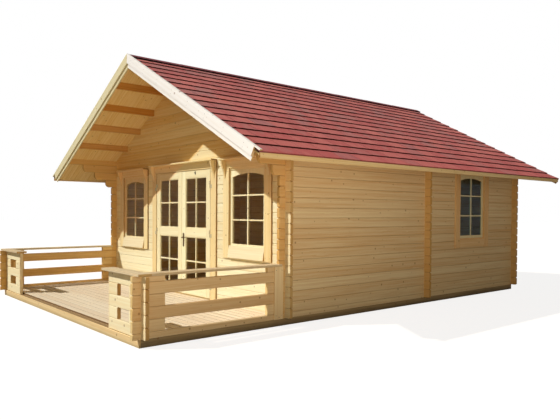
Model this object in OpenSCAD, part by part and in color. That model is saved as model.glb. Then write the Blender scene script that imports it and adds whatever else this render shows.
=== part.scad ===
// Log cabin with a railed terrace under a deep gable roof.
// House frame: y = 0 is the front wall's outer face, +y runs to the rear,
// z = 0 is the top of the base beams. Side wall courses lie half a course
// lower than front and rear courses, so crossing logs lap into each other.

/* [Logs] */
// Height of one log course
log_h = 135; // [120:1:150]
// Thickness of a log
log_t = 45; // [38:1:60]
// Chamfer along each long edge of a log
log_v = 7; // [3:1:10]
// Length that log ends run past a corner
log_p = 100; // [80:5:150]
// Width of the tongue on top of a log
tongue_w = 16; // [10:1:20]
// Height of the tongue on top of a log
tongue_h = 7; // [4:1:10]
// Length of the bevels at a log's free end
end_l = 20; // [10:1:30]
// Height of the bevels at a log's free end
end_h = 12; // [6:1:20]
// Clearance between pieces that seat on each other
fit = 0.3; // [0.2:0.1:0.5]

/* [House] */
// Width over the side walls
house_w = 4900; // [4700:10:5600]
// Length over the front and rear walls
house_l = 5900; // [5700:10:6500]
// From the front wall's face to the cross wall's face
room_l = 3030; // [2600:10:3300]
// Full courses in a side wall above its starting half log
side_n = 17; // [16:1:19]
// Width of the doorway in the cross wall
inner_door_w = 850; // [700:10:1000]
// Height of the doorway in the cross wall, in courses
inner_door_n = 15; // [13:1:15]

/* [Base] */
// Height of the base beams
base_h = 90; // [60:1:140]
// Width of the base beams
base_w = 70; // [55:1:120]
// Joists under the terrace
joist_n = 5; // [3:1:8]
// Thickness of the floor and terrace boards
floor_t = 28; // [20:1:35]
// Thickness of the board that faces the terrace edge
edge_board_t = 20; // [15:1:30]

/* [Terrace] */
// From the front wall's face to the face of the front rail logs
terrace_l = 2050; // [1700:10:2400]
// Distance of the front rails' inner ends from the house's middle
entry_half = 1660; // [1200:10:1800]
// Length of the rail blocks at the terrace's front corners
front_block = 293; // [220:1:400]
// Length of the rail blocks at the house
house_block = 190; // [120:1:300]
// Width of the openings in the front rails
peep_w = 288; // [100:1:340]
// Distance of the openings in the front rails from the side wall's face
peep_in = 275; // [200:1:400]
// Width of the cap boards
cap_w = 158; // [110:1:180]
// Distance by which the cap boards stand outwards of the rails' middle
cap_out = 10; // [0:1:20]
// Thickness of the cap boards
cap_t = 28; // [18:1:40]
// Overhang of the cap past the front rail's inner end
cap_over = 52; // [20:1:90]
// Width of the upright boards that end the rails
post_w = 145; // [100:1:170]
// Distance of the wall-end boards from the front wall's face
post_in = 41; // [20:1:60]
// Thickness of the upright boards that end the rails
post_t = 20; // [15:1:35]

/* [Roof] */
// Pitch of the roof
pitch = 28.4; // [24:0.1:32]
// Depth that the roof line cuts into a side wall's outer top edge
plate_cut = 30; // [10:1:50]
// Overhang of the roof boards past a side wall
eave_over = 642; // [450:1:700]
// Overhang of the roof past the front wall
front_over = 994; // [900:1:1100]
// Overhang of the roof past the rear wall
rear_over = 400; // [250:1:500]
// Thickness of the roof boards
deck_t = 26; // [18:1:40]
// Courses of shingles on one slope
shingle_n = 15; // [10:1:18]
// Thickness of the shingle bed
shingle_bed = 4; // [3:0.5:8]
// Thickness that a shingle's lower edge adds
shingle_step = 14; // [6:0.5:18]
// Reach of the shingles past the eave boards
shingle_over = 12; // [5:1:25]
// Length of each wing of the ridge cap
ridge_wing = 75; // [50:1:150]
// Thickness of the ridge cap
ridge_t = 24; // [10:1:30]
// Height of the eave boards
eave_board_h = 58; // [45:1:110]
// Thickness of eave boards and barge boards
trim_t = 20; // [15:1:28]
// Width of the barge boards below the top of the roof boards
barge_w = 94; // [80:1:160]
// Width of the lower strips that show under the front barge boards
strip_show = 58; // [30:1:70]
// Lap of the lower strips behind the front barge boards
strip_lap = 48; // [30:1:60]
// Length by which the front barge boards stop short of the eave
barge_short = 108; // [40:1:140]
// Width of the cap boards over the front barges
barge_cap_w = 38; // [30:1:110]
// Thickness of the cap boards over the front barges
barge_cap_t = 18; // [12:1:24]
// Width of a purlin
purlin_w = 70; // [50:1:90]
// Height of a purlin at its outer face
purlin_h = 95; // [80:1:120]
// Height of a purlin's seat above the log joint below it
purlin_up = 48; // [30:1:60]
// Purlins on one slope besides the ridge purlin
purlin_n = 4; // [3:1:4]

/* [Corbels] */
// Forward reach of the lowest stepped log under the eaves
corbel_first = 220; // [180:1:240]
// Further reach of each next stepped log
corbel_step = 225; // [180:1:240]
// Radius of the rounded lower corner of a stepped log
corbel_r = 78; // [40:1:100]

/* [Windows] */
// Distance of the front windows' middle from the house's middle
win_x = 1664; // [1600:1:1680]
// Distance of the side windows' middle in front of the rear room's middle
side_win_off = 31; // [0:1:150]
// Full courses under a front window
win_low = 6; // [5:1:6]
// Courses that a window opening is high
win_n = 9; // [8:1:9]
// Width of the opening in the wall
win_w = 850; // [750:1:900]
// Width of the frame's jambs
jamb_w = 30; // [25:1:40]
// Height of the frame's sill piece
frame_sill_h = 45; // [35:1:60]
// Height of the frame's head piece
frame_head_h = 70; // [45:1:90]
// Width of the sash's stiles and bottom rail
stile_w = 50; // [40:1:65]
// Height of the sash above the arch
sash_head_h = 55; // [40:1:70]
// Rise of the sash's arch
arch_rise = 45; // [20:1:70]
// Thickness of a sash
sash_t = 36; // [30:1:40]
// Thickness of a glass pane
glass_t = 6; // [4:1:8]
// Width of the casing boards
casing_w = 140; // [100:1:150]
// Thickness of the casing boards
casing_t = 22; // [16:1:30]
// Reach of the casing over the jamb towards the glass
casing_in = 30; // [22:1:35]
// Length by which the casings run below the opening
casing_drop = 115; // [80:1:130]
// Height by which window casings run past the lower edge of the frame's head
casing_up = 35; // [20:1:60]
// Height of the head boards over windows and door
head_h = 112; // [90:1:130]
// Height of the sill board above the opening's lower edge
sill_up = 70; // [40:1:85]
// Foot of the sill board below the opening's lower edge
sill_down = 105; // [70:1:130]
// Projection of the sill board's foot
sill_out = 46; // [30:1:60]
// Projection of the sill board's top edge
sill_top = 16; // [10:1:22]

/* [Hoods] */
// Depth of the hood boards
hood_d = 110; // [80:1:140]
// Thickness of the hood boards
hood_t = 20; // [15:1:28]
// Overhang of a hood board past its brackets
hood_over = 30; // [15:1:45]
// Thickness of a bracket
bracket_t = 30; // [20:1:40]
// Height of a bracket
bracket_h = 255; // [180:1:300]
// Length by which a hood board's front edge passes its brackets
bracket_in = 12; // [5:1:25]
// Depth of a bracket at its foot
bracket_foot = 6; // [4:1:15]

/* [Door] */
// Width of one door leaf
leaf_w = 796; // [700:1:850]
// Thickness of a door leaf
leaf_t = 40; // [34:1:50]
// Gap between the leaves where they meet
meet_gap = 8.5; // [8.5:0.1:12]
// Gap around the leaves
leaf_gap = 6; // [5.5:0.1:9]
// Width of the door frame's jambs
door_jamb_w = 44; // [35:1:60]
// Height of the threshold
sill_h = 45; // [38:1:60]
// Depth that the doorway cuts into the course above it
door_up = 25; // [10:1:40]
// Courses that the doorway is high
door_n = 15; // [14:1:15]
// Width of the stiles of a leaf
door_stile = 108; // [90:1:120]
// Height of the top rail of a leaf
top_rail = 110; // [90:1:130]
// Height of the lock rail of a leaf
lock_rail = 141; // [110:1:160]
// Height of the bottom rail of a leaf
bottom_rail = 145; // [110:1:190]
// Height of the upper panes
upper_pane = 787; // [700:1:820]
// Width by which the door stops lap behind the leaves
stop_lap = 14; // [10:1:25]
// Projection of a leaf in front of the wall's face
leaf_out = 18; // [10:1:20]
// Distance of the hinge pins in front of the leaves
pin_out = 8; // [8:0.5:12]
// Radius of the hinge knuckles
knuckle_r = 7; // [5:0.5:7.5]
// Length of a hinge
hinge_l = 110; // [80:1:140]
// Width of a hinge plate
hinge_w = 34; // [26:1:45]
// Thickness of a hinge plate
hinge_t = 3; // [2:0.5:4]
// Distance of the lowest hinge from the leaf's lower edge
hinge_low = 190; // [140:1:260]
// Distance of the highest hinge from the leaf's upper edge
hinge_high = 230; // [140:1:280]
// Height of the handle plate
plate_h = 220; // [160:1:240]
// Width of the handle plate
plate_w = 40; // [30:1:50]
// Height of the handle above the leaf's lower edge
handle_z = 860; // [780:1:950]
// Thickness of the handle plate
plate_t = 4; // [3:0.5:6]
// Length of the lever
lever_l = 115; // [90:1:130]
// Radius of the lever
lever_r = 9; // [7:0.5:11]
// Distance of the lever from the leaf's face
lever_out = 38; // [32:1:50]

/* [Hidden] */
$fn = 48;
half_w = house_w / 2;
in_x = half_w - log_t;
quarter = log_h / 4;
plate_z = (side_n + 0.5) * log_h - plate_cut;
apex_z = plate_z + half_w * tan(pitch);
shingle_top = deck_t + shingle_bed + shingle_step;
front_y = -front_over;
rear_y = house_l + rear_over;
total_front = terrace_l + log_p;
mid_y = (rear_y - total_front) / 2;
eave_x = half_w + eave_over;
eave_end = (eave_x + trim_t + shingle_over - shingle_top * sin(pitch)) / cos(pitch);
shingle_low = deck_t + shingle_bed;
shingle_start = (fit - shingle_low * sin(pitch)) / cos(pitch);
shingle_row = (eave_end - shingle_start) / shingle_n;
ridge_low = shingle_low + shingle_step * (ridge_wing - shingle_start) / shingle_row + fit;
rail_n = 5;
rail_top = rail_n * log_h;
over_n = door_n;
gable_n = floor((apex_z - log_h / 3) / log_h) - side_n;
side_win_y = (room_l + house_l) / 2 - side_win_off;
win_z = win_low * log_h;
win_h = win_n * log_h;
sash_w = win_w - 2 * jamb_w - 2 * fit;
sash_h = win_h - frame_sill_h - frame_head_h - 2 * fit;
glass_w = sash_w - 2 * stile_w;
glass_h = sash_h - stile_w - sash_head_h;
casing_x = win_w / 2 - casing_in;
casing_end = casing_x + casing_w;
casing_top = win_h - frame_head_h + casing_up;
door_half = meet_gap / 2 + leaf_w + leaf_gap + door_jamb_w;
door_z = door_n * log_h + door_up;
leaf_z = sill_h + leaf_gap;
leaf_h = door_z - door_jamb_w - leaf_gap - leaf_z;
lower_pane = leaf_h - top_rail - lock_rail - bottom_rail - upper_pane;
door_casing_x = meet_gap / 2 + leaf_w + 2 * leaf_gap;
door_casing_end = door_casing_x + casing_w;
door_head_z = leaf_z + leaf_h + 2 * leaf_gap;
pin_x = meet_gap / 2 + leaf_w + leaf_gap / 2;
pin_y = -leaf_out - pin_out;

// Moves the house frame so that the part's middle stands on the ground
module placed() translate([0, -mid_y, base_h]) children();
// A box between two corners
module block(a, b) translate(a) cube(b - a);
// Shapes drawn in x and z, run along y
module along_y(y0, y1) translate([0, y1, 0]) rotate([90, 0, 0]) linear_extrude(y1 - y0) children();
// Shapes drawn in y and z, run along x
module along_x(x0, x1) translate([x0, 0, 0]) rotate([90, 0, 90]) linear_extrude(x1 - x0) children();
// A shape and its mirror image on the left
module both() {
  children();
  mirror([1, 0, 0]) children();
}

// Section of a log: chamfered edges, a tongue on top and a groove below
module log_section() {
  top = log_h - fit;
  mid = log_t / 2;
  difference() {
    union() {
      polygon([
        [log_v, 0], [log_t - log_v, 0], [log_t, log_v], [log_t, top - log_v],
        [log_t - log_v, top], [log_v, top], [0, top - log_v], [0, log_v]
      ]);
      translate([mid - tongue_w / 2, top - 1]) square([tongue_w, tongue_h + 1]);
    }
    translate([mid - tongue_w / 2 - fit, -1]) square([tongue_w + 2 * fit, tongue_h + 1 + fit]);
  }
}
// Side view of a log between a0 and a1, bevelled above and below at a free end
module log_side(a0, a1, free0, free1) {
  rise = log_h + tongue_h + 1;
  low = end_l * (end_h + 1) / end_h;
  high = end_l * (end_h + tongue_h + 1) / end_h;
  polygon(concat(
    free0
      ? [[a0 + high, rise], [a0, log_h - end_h], [a0, end_h], [a0 + low, -1]]
      : [[a0 - 1, rise], [a0 - 1, -1]],
    free1
      ? [[a1 - low, -1], [a1, end_h], [a1, log_h - end_h], [a1 - high, rise]]
      : [[a1 + 1, -1], [a1 + 1, rise]]
  ));
}
// A log along x from x0 to x1 with its lower edge at z, outer face at y
module log_x(x0, x1, y, z, free0 = false, free1 = false) translate([0, y, z])
  if (free0 || free1) intersection() {
    along_x(free0 ? x0 - 1 : x0, free1 ? x1 + 1 : x1) log_section();
    along_y(-1, log_t + 1) log_side(x0, x1, free0, free1);
  }
  else along_x(x0, x1) log_section();
// A log along y, with its outer face towards +x at x
module log_y(y0, y1, x, z, free0 = false, free1 = false) translate([x - log_t, 0, z])
  if (free0 || free1) intersection() {
    along_y(free0 ? y0 - 1 : y0, free1 ? y1 + 1 : y1) log_section();
    along_x(-1, log_t + 1) log_side(y0, y1, free0, free1);
  }
  else along_y(y0, y1) log_section();
// Takes the tongue off a log along x between x0 and x1
module plane_x(x0, x1, y, z)
  block([x0, y - 1, z + log_h - fit], [x1, y + log_t + 1, z + log_h + tongue_h + 1]);
// Takes the tongue off a log along y between y0 and y1
module plane_y(y0, y1, x, z)
  block([x - log_t - 1, y0, z + log_h - fit], [x + 1, y1, z + log_h + tongue_h + 1]);
// Laps cut into a log along x where a side wall crosses it
module laps_x(xs, y, z)
  for (x = xs) {
    block([x - log_t - fit, y - 1, z - 1], [x + fit, y + log_t + 1, z + quarter + fit / 2]);
    block(
      [x - log_t - fit, y - 1, z + 3 * quarter - fit / 2],
      [x + fit, y + log_t + 1, z + log_h + tongue_h + 1]
    );
  }
// Laps cut into a log along y where a cross-running wall passes through it
module laps_y(ys, x, z)
  for (y = ys) {
    block([x - log_t - 1, y - fit, z - 1], [x + 1, y + log_t + fit, z + quarter + fit / 2]);
    block(
      [x - log_t - 1, y - fit, z + 3 * quarter - fit / 2],
      [x + 1, y + log_t + fit, z + log_h + tongue_h + 1]
    );
  }

// A point on the right slope: s down the slope from the ridge, n above the boards' underside
function slope(s, n) = [s * cos(pitch) + n * sin(pitch), apex_z - s * sin(pitch) + n * cos(pitch)];
// Distance s at which height n meets the upright plane x
function at_x(x, n) = (x - n * sin(pitch)) / cos(pitch);
// Height of the roof boards' underside over x
function under(x) = apex_z - x * tan(pitch);

// The space under the roof boards
module under_roof()
  along_y(front_y - 1, rear_y + 1)
    polygon([
      [-eave_x, 0], [eave_x, 0], [eave_x, under(eave_x) - fit / cos(pitch)],
      [0, apex_z - fit / cos(pitch)], [-eave_x, under(eave_x) - fit / cos(pitch)]
    ]);

// The space from the roof boards' underside upwards
module above_roof()
  difference() {
    block([-eave_x, front_y, 0], [eave_x, rear_y, apex_z + log_h]);
    under_roof();
  }

// Outer beams, beams under the walls and the floor, and joists that carry the terrace boards
module base_beams() color("#5b4f3c") placed() {
  rear_end = house_l - log_t / 3;
  xs = half_w - base_w;
  both() block([xs, -terrace_l, -base_h], [half_w, rear_end, 0]);
  for (y = [-terrace_l, 0, room_l / 2, room_l - base_w / 4, (room_l + house_l) / 2, rear_end - base_w])
    block([-xs + fit, y, -base_h], [xs - fit, y + base_w, 0]);
  for (i = [1:joist_n]) {
    x = xs * (2 * i / (joist_n + 1) - 1);
    block([x - base_w / 2, -terrace_l + base_w + fit, -base_h], [x + base_w / 2, -fit, 0]);
  }
}

module terrace_edge_board() color("#e6c58f") placed()
  block([-half_w, -terrace_l - edge_board_t - fit, -base_h], [half_w, -terrace_l - fit, 0]);

module terrace_deck() color("#e2cfa6") placed()
  block([-in_x + fit, -terrace_l + log_t + fit, 0], [in_x - fit, -fit, floor_t]);

module floor() color("#dcc596") placed() {
  block([-in_x + fit, log_t + fit, 0], [in_x - fit, room_l - fit, floor_t]);
  block([-in_x + fit, room_l + log_t + fit, 0], [in_x - fit, house_l - log_t - fit, floor_t]);
}

// Forward end of side wall course k: the top courses step out under the eaves
function side_front(k) =
  k == side_n ? front_y + 2 * trim_t + 2 * fit :
  k > side_n - 4 ? -corbel_first - (k - side_n + 3) * corbel_step : -log_p;
// Rear end of side wall course k: only the top course carries the overhang
function side_rear(k) = k == side_n ? rear_y - trim_t - fit : house_l + log_p;
// One side wall log between y0 and y1, lapped at the crossing walls
module side_log(k, y0, y1) {
  z = (k - 0.5) * log_h;
  round_end = k > side_n - 4 && k < side_n && y0 < -log_p;
  difference() {
    log_y(y0, y1, half_w, z, k > rail_n && k <= side_n - 4, k < side_n);
    laps_y([0, room_l, house_l - log_t], half_w, z);
    if (k == 0) block([in_x - 1, y0 - 1, z - 1], [half_w + 1, y1 + 1, 0]);
    if (round_end) difference() {
      block([in_x - 1, y0 - 1, z - 1], [half_w + 1, y0 + corbel_r, z + corbel_r]);
      translate([in_x - 2, y0 + corbel_r, z + corbel_r]) rotate([0, 90, 0])
        cylinder(h = log_t + 4, r = corbel_r);
    }
  }
}
// The right side wall; its courses lie half a course low and start with a half log
module side_wall()
  difference() {
    intersection() {
      union() for (k = [0:side_n]) side_log(k, side_front(k), side_rear(k));
      under_roof();
    }
    at_side_window() opening();
  }
module right_wall() color("#e0bd80") placed() side_wall();
module left_wall() color("#e0bd80") placed() mirror([1, 0, 0]) side_wall();

// A full-width log of the front, rear or cross wall, lapped at both side walls
module cross_log(m, y, x0 = -half_w - log_p, x1 = half_w + log_p)
  difference() {
    log_x(x0, x1, y, m * log_h, x0 < 0, true);
    laps_x([-in_x, half_w], y, m * log_h);
    if (m == side_n - 1) {
      both() plane_x(half_w, half_w + log_p + 1, y, m * log_h);
      above_roof();
    }
  }
// Gable logs from course side_n up, cut to the slopes and let in for the purlins
module gable(y)
  difference() {
    intersection() {
      union() for (m = [side_n:side_n + gable_n]) log_x(-in_x + fit, in_x - fit, y, m * log_h);
      under_roof();
    }
    purlin_sections(y - 1, y + log_t + 1, fit);
  }

module rear_wall() color("#e0bd80") placed()
  for (m = [0:side_n - 1]) cross_log(m, house_l - log_t);
module rear_gable() color("#e0bd80") placed() gable(house_l - log_t);
module front_gable() color("#dfb877") placed() gable(0);
module wall_over_door() color("#e4c48b") placed()
  difference() {
    union() for (m = [over_n:side_n - 1]) cross_log(m, 0);
    block([-door_half, -1, 0], [door_half, log_t + 1, door_z]);
  }
// Front wall beside the doorway on the right, cut for its window
module front_side()
  difference() {
    union() for (m = [0:over_n - 1]) cross_log(m, 0, door_half + fit);
    at_front_window() opening();
  }
module front_wall_right() color("#efd9a6") placed() front_side();
module front_wall_left() color("#efd9a6") placed() mirror([1, 0, 0]) front_side();
// The wall between the two rooms, with an open doorway in its middle
module cross_wall() color("#dcb983") placed()
  difference() {
    union() for (m = [0:side_n - 1]) cross_log(m, room_l);
    block([-inner_door_w / 2, room_l - 1, -1], [inner_door_w / 2, room_l + log_t + 1, inner_door_n * log_h]);
    plane_x(-in_x, in_x, room_l, (side_n - 1) * log_h);
  }

// Sections of the purlins; grow widens them for the seats in the gables
module purlin_sections(y0, y1, grow = 0) {
  ridge_z = (floor(under(purlin_w / 2) / log_h) - 1) * log_h;
  along_y(y0, y1) {
    for (i = [1:purlin_n]) {
      z = (side_n - 1 + 2 * i) * log_h + purlin_up;
      out_x = (apex_z - z - purlin_h) / tan(pitch);
      for (side = [-1, 1])
        polygon([
          [side * (out_x + grow), z - grow], [side * (out_x - purlin_w - grow), z - grow],
          [side * (out_x - purlin_w - grow), under(out_x - purlin_w - grow) - fit + 2 * grow],
          [side * (out_x + grow), under(out_x + grow) - fit + 2 * grow]
        ]);
    }
    polygon([
      [-purlin_w / 2 - grow, ridge_z - grow], [purlin_w / 2 + grow, ridge_z - grow],
      [purlin_w / 2 + grow, under(purlin_w / 2 + grow) - fit + 2 * grow], [0, apex_z - fit + 2 * grow],
      [-purlin_w / 2 - grow, under(purlin_w / 2 + grow) - fit + 2 * grow]
    ]);
  }
}
module purlins() color("#c08a45") placed()
  purlin_sections(front_y + 2 * trim_t + 2 * fit, rear_y - trim_t - fit);

module roof_boards() color("#cf9d5a") placed() both()
  along_y(front_y + trim_t + fit, rear_y - trim_t - fit)
    polygon([
      slope(at_x(fit, 0), 0), slope(at_x(eave_x, 0), 0),
      slope(at_x(eave_x, deck_t - fit), deck_t - fit), slope(at_x(fit, deck_t - fit), deck_t - fit)
    ]);

// Lapped courses of shingles on the right slope: each drops to the next at its lower edge
module shingle_slope()
  along_y(front_y + trim_t + fit, rear_y)
    polygon(concat(
      [for (i = [0:shingle_n - 1]) each [
        slope(shingle_start + i * shingle_row, shingle_low),
        slope(shingle_start + (i + 1) * shingle_row, shingle_top)
      ]],
      [slope(eave_end, deck_t), slope(at_x(fit, deck_t), deck_t)]
    ));
module shingles() color("#b5504c") placed() both() shingle_slope();

module ridge_cap() color("#7d3836") placed() {
  top = ridge_low + ridge_t;
  low_edge = slope(ridge_wing, ridge_low);
  top_edge = slope(ridge_wing, top);
  along_y(front_y + barge_cap_w, rear_y)
    polygon([
      [0, apex_z + top / cos(pitch)], top_edge, low_edge, [0, apex_z + ridge_low / cos(pitch)],
      [-low_edge[0], low_edge[1]], [-top_edge[0], top_edge[1]]
    ]);
}

module eave_boards() color("#e3c083") placed() both() {
  top = apex_z + deck_t / cos(pitch) - (eave_x + trim_t) * tan(pitch) - fit;
  block(
    [eave_x + fit, front_y + trim_t + fit, top - eave_board_h],
    [eave_x + trim_t, rear_y - trim_t - fit, top]
  );
}

// A board along the right slope between heights n0 and n1, ending square at s1
module rake(n0, n1, s1, y0, y1)
  along_y(y0, y1)
    polygon([slope(at_x(fit, n0), n0), slope(s1, n0), slope(s1, n1), slope(at_x(fit, n1), n1)]);
// The front barge boards reach up to their caps, the rear ones lie under the shingles
module barge_boards() color("#f4ead2") placed() both() {
  low = deck_t - fit - barge_w;
  rake(low, shingle_top, eave_end - barge_short, front_y, front_y + trim_t);
  rake(low, deck_t - fit, eave_end, rear_y - trim_t, rear_y);
}
module barge_strips() color("#ecd9b4") placed() both()
  rake(
    deck_t - barge_w - strip_show, deck_t - barge_w + strip_lap, eave_end - barge_short,
    front_y + trim_t + fit, front_y + 2 * trim_t + fit
  );
module barge_caps() color("#f7f0de") placed() both()
  rake(shingle_top + fit, shingle_top + barge_cap_t, eave_end, front_y, front_y + barge_cap_w - fit);

// Logs of the right side rail: rails on even courses, end blocks between them
module side_rail() {
  y0 = -terrace_l - log_p;
  y1 = -log_p - fit;
  gap0 = -terrace_l + front_block;
  gap1 = y1 - house_block;
  for (k = [0:rail_n]) {
    z = (k - 0.5) * log_h;
    for (span = k % 2 == 0 ? [[y0, y1]] : [[y0, gap0], [gap1, y1]])
      difference() {
        log_y(span[0], span[1], half_w, z, span[0] == y0);
        laps_y([-terrace_l], half_w, z);
        if (k % 2 == 0) plane_y(gap0, gap1, half_w, z);
        if (k == 0) block([in_x - 1, y0 - 1, z - 1], [half_w + 1, y1 + 1, 0]);
        if (k == rail_n) block([in_x - 1, y0 - 1, rail_top - fit], [half_w + 1, y1 + 1, z + 2 * log_h]);
      }
  }
}
module right_rail() color("#d8b074") placed() side_rail();
module left_rail() color("#d8b074") placed() mirror([1, 0, 0]) side_rail();

// Logs of the right front rail: blocks on odd courses leave an opening
module front_rail() {
  x0 = entry_half + post_t + fit;
  x1 = half_w + log_p;
  gap1 = half_w - peep_in;
  gap0 = gap1 - peep_w;
  for (m = [0:rail_n - 1]) {
    z = m * log_h;
    for (span = m % 2 == 0 ? [[x0, x1]] : [[x0, gap0], [gap1, x1]])
      difference() {
        log_x(span[0], span[1], -terrace_l, z, false, span[1] == x1);
        laps_x([half_w], -terrace_l, z);
        if (m % 2 == 0) plane_x(gap0, gap1, -terrace_l, z);
        if (m == rail_n - 1) plane_x(x0 - 1, x1 + 1, -terrace_l, z);
      }
  }
}
module front_rail_right() color("#efd9a6") placed() front_rail();
module front_rail_left() color("#efd9a6") placed() mirror([1, 0, 0]) front_rail();

module rail_caps() color("#f3e6c6") placed() both() {
  cx = half_w - log_t / 2 + cap_out;
  cy = -terrace_l + log_t / 2 - cap_out;
  block([entry_half - cap_over, cy - cap_w / 2, rail_top], [cx + cap_w / 2, cy + cap_w / 2, rail_top + cap_t]);
  block([cx - cap_w / 2, cy + cap_w / 2 + fit, rail_top], [cx + cap_w / 2, -log_p - fit, rail_top + cap_t]);
}

module rail_posts() color("#ead09a") placed() both() {
  block([entry_half, -terrace_l, 0], [entry_half + post_t, -terrace_l + log_t, rail_top - fit]);
  block([half_w + fit, -post_in - post_w, 0], [half_w + post_t, -post_in, rail_top - fit]);
}

// Puts a window's lower middle in the front wall, right of the door
module at_front_window() translate([win_x, 0, win_z]) children();
// Puts a window's lower middle in the right side wall, its outside turned outwards
module at_side_window() translate([half_w, side_win_y, win_z + log_h / 2]) rotate([0, 0, 90]) children();
// The hole that a window fills
module opening() block([-win_w / 2, -1, 0], [win_w / 2, log_t + 1, win_h]);
module at_front_windows() both() at_front_window() children();
module at_side_windows() both() at_side_window() children();
module at_windows() {
  at_front_windows() children();
  at_side_windows() children();
}

module window_frames() color("#ead3a0") placed() at_windows() {
  w = win_w / 2 - fit;
  top = win_h - frame_head_h;
  both() block([win_w / 2 - jamb_w, 0, frame_sill_h + fit], [w, log_t, top - fit]);
  block([-w, 0, fit], [w, log_t, frame_sill_h]);
  block([-w, 0, top], [w, log_t, win_h - fit]);
}
// Outline of the arched glass, narrowed by gap all round
module glass_outline(gap = 0) {
  r = (pow(glass_w / 2, 2) + pow(arch_rise, 2)) / (2 * arch_rise);
  intersection() {
    translate([-glass_w / 2 + gap, gap]) square([glass_w - 2 * gap, glass_h - gap]);
    translate([0, glass_h - r]) circle(r = r - gap, $fn = 96);
  }
}
module window_sashes() color("#f0dfb4") placed() at_windows()
  translate([0, 0, frame_sill_h + fit])
    along_y(log_t - sash_t, log_t - fit)
      difference() {
        translate([-sash_w / 2, 0]) square([sash_w, sash_h]);
        translate([0, stile_w]) glass_outline();
      }
module window_glass() color("#4a3a2c") placed() at_windows()
  translate([0, 0, frame_sill_h + fit + stile_w])
    along_y(log_t - sash_t / 2 - glass_t / 2, log_t - sash_t / 2 + glass_t / 2) glass_outline(fit);
module window_casings() color("#e9cf98") placed() at_windows() both()
  block([casing_x, -casing_t, -casing_drop], [casing_end, -fit, casing_top]);

// Boards over the casings; those on the front carry the hoods
module head_boards() color("#d9b071") placed() {
  at_windows() block([-casing_end, -casing_t, casing_top + fit], [casing_end, -fit, casing_top + head_h]);
  block([-door_casing_end, -casing_t, door_head_z + fit], [door_casing_end, -fit, door_head_z + head_h]);
}
// Sloping sill boards on the front, plain aprons on the sides
module window_sills() color("#f2e2b8") placed() {
  w = casing_x - fit;
  at_front_windows()
    along_x(-w, w) polygon([[-fit, sill_up], [-sill_top, sill_up], [-sill_out, -sill_down], [-fit, -sill_down]]);
  at_side_windows() block([-w, -casing_t, -sill_down], [w, -fit, sill_up - stile_w]);
}
module hood_boards() color("#e6c78c") placed() {
  w = casing_end - casing_w / 4 + hood_over;
  at_front_windows()
    block([-w, -hood_d, casing_top + head_h + fit], [w, -fit, casing_top + head_h + hood_t]);
  dw = door_casing_end - casing_w / 4 + hood_over;
  block([-dw, -hood_d, door_head_z + head_h + fit], [dw, -fit, door_head_z + head_h + hood_t]);
}
// A bracket with an S-shaped edge, deep under the hood and running out at its foot
module bracket(x, z) {
  reach = hood_d - casing_t - 2 * fit - bracket_in;
  steps = 16;
  along_x(x - bracket_t / 2, x + bracket_t / 2)
    polygon(concat(
      [[-casing_t - fit, z], [-casing_t - fit, z - bracket_h]],
      [for (i = [0:steps]) let (u = i / steps)
        [
          -casing_t - fit - bracket_foot - (reach - bracket_foot) * (0.5 - 0.5 * cos(180 * u)),
          z - bracket_h * (1 - u)
        ]]
    ));
}
module hood_brackets() color("#dcb679") placed() {
  at_front_windows() both() bracket(casing_end - casing_w / 4 - bracket_t / 2, casing_top + head_h);
  both() bracket(door_casing_end - casing_w / 4 - bracket_t / 2, door_head_z + head_h);
}

module door_frame() color("#ead3a0") placed() {
  inner = door_half - door_jamb_w;
  stop = leaf_t - leaf_out + leaf_gap;
  top = leaf_z + leaf_h + leaf_gap;
  both() {
    block([inner, 0, sill_h + fit], [door_half - fit, log_t, top - fit]);
    block([inner - leaf_gap - stop_lap, stop, sill_h + fit], [inner - fit, log_t, top - fit]);
  }
  block([-door_half + fit, 0, 0], [door_half - fit, log_t, sill_h]);
  block([-door_half + fit, 0, top], [door_half - fit, log_t, door_z - fit]);
}
module door_casings() color("#e9cf98") placed() both()
  block([door_casing_x, -casing_t, floor_t + fit], [door_casing_end, -fit, door_head_z]);

// Panes of one leaf as [lower edge, height], measured from the leaf's lower edge
panes = [[bottom_rail, lower_pane], [bottom_rail + lower_pane + lock_rail, upper_pane]];
// The right leaf: stiles and three rails around an upper and a lower glazed field
module leaf()
  translate([meet_gap / 2, 0, leaf_z])
    difference() {
      block([0, -leaf_out, 0], [leaf_w, leaf_t - leaf_out, leaf_h]);
      for (p = panes) block([door_stile, -leaf_out - 1, p[0]], [leaf_w - door_stile, leaf_t, p[0] + p[1]]);
    }
module leaf_glass()
  translate([meet_gap / 2, leaf_t / 2 - leaf_out, leaf_z])
    for (p = panes)
      block(
        [door_stile + fit, -glass_t / 2, p[0] + fit],
        [leaf_w - door_stile - fit, glass_t / 2, p[0] + p[1] - fit]
      );
hinge_zs = [leaf_z + hinge_low, leaf_z + leaf_h / 2, leaf_z + leaf_h - hinge_high];
// Upper half of each hinge: a knuckle on the pin's axis and a plate on the leaf
module leaf_hinges()
  for (z = hinge_zs) {
    translate([pin_x, pin_y, z + fit]) cylinder(h = hinge_l / 2, r = knuckle_r);
    block([pin_x - hinge_w, -leaf_out - hinge_t, z + fit], [pin_x, -leaf_out - fit, z + hinge_l / 2]);
    block([pin_x - hinge_t, pin_y, z + fit], [pin_x, -leaf_out - fit, z + hinge_l / 2]);
  }
// Lower half of each hinge: a knuckle and a plate on the casing
module frame_hinges() color("#4b4740") placed() both()
  for (z = hinge_zs) {
    translate([pin_x, pin_y, z - hinge_l / 2]) cylinder(h = hinge_l / 2, r = knuckle_r);
    block([pin_x, -casing_t - hinge_t, z - hinge_l / 2], [door_casing_x + hinge_w, -casing_t - fit, z]);
  }

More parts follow.
